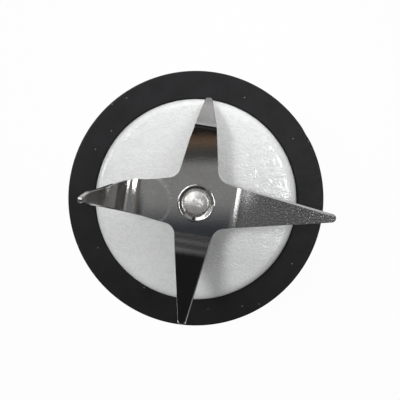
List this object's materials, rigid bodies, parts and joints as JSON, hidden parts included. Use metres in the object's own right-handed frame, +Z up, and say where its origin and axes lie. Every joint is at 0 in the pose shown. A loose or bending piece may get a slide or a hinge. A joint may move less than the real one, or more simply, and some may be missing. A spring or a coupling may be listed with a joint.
{
  "type": "blender blade assembly",
  "caption": "Blender blade assembly: bent four-arm steel blade on a riveted shaft, spinning in a white moulded base with a black sealing gasket and a lobed drive socket below.",
  "frame": {"origin": "on the spin axis, in the plane of the foot that the base stands on", "axes": "+Z up along the spin axis; seen from above +X points to the picture's right and +Y to its top"},
  "size_m": [0.07, 0.07, 0.0573],
  "materials": {
    "white_plastic": "fine moulded grain, satin",
    "black_rubber": "satin moulded rubber",
    "stainless_sheet": "polished stainless sheet, finely brushed",
    "turned_steel": "bright turned steel",
    "washer_steel": "plain rolled steel",
    "fibre": "pressed fibre",
    "seal_rubber": "matt nitrile rubber",
    "brass": "turned brass",
    "bronze": "sintered bronze, oil dark",
    "felt": "oiled wool felt",
    "coupling_plastic": "glass-filled moulding"
  },
  "bodies": {
    "base": {"base_body": "white_plastic", "sealing_gasket": "black_rubber", "bearing_sleeve": "brass", "upper_bush": "bronze", "lower_bush": "bronze", "oil_felt": "felt", "shaft_seal": "seal_rubber", "seal_cap": "turned_steel"},
    "rotor": {"blade": "stainless_sheet", "drive_shaft": "turned_steel", "rivet_washer": "turned_steel", "blade_collar": "turned_steel", "upper_thrust_washer": "washer_steel", "lower_thrust_washer": "washer_steel", "retaining_ring": "washer_steel", "upper_wear_washer": "fibre", "lower_wear_washer": "fibre", "slinger_washer": "seal_rubber", "coupling_insert": "brass", "drive_coupling": "coupling_plastic"}
  },
  "joints": [
    {"name": "blade_spin", "type": "hinge", "parent": "base", "child": "rotor", "pos_m": [0, 0, 0.03005], "axis": [0, 0, 1], "continuous": true}
  ]
}
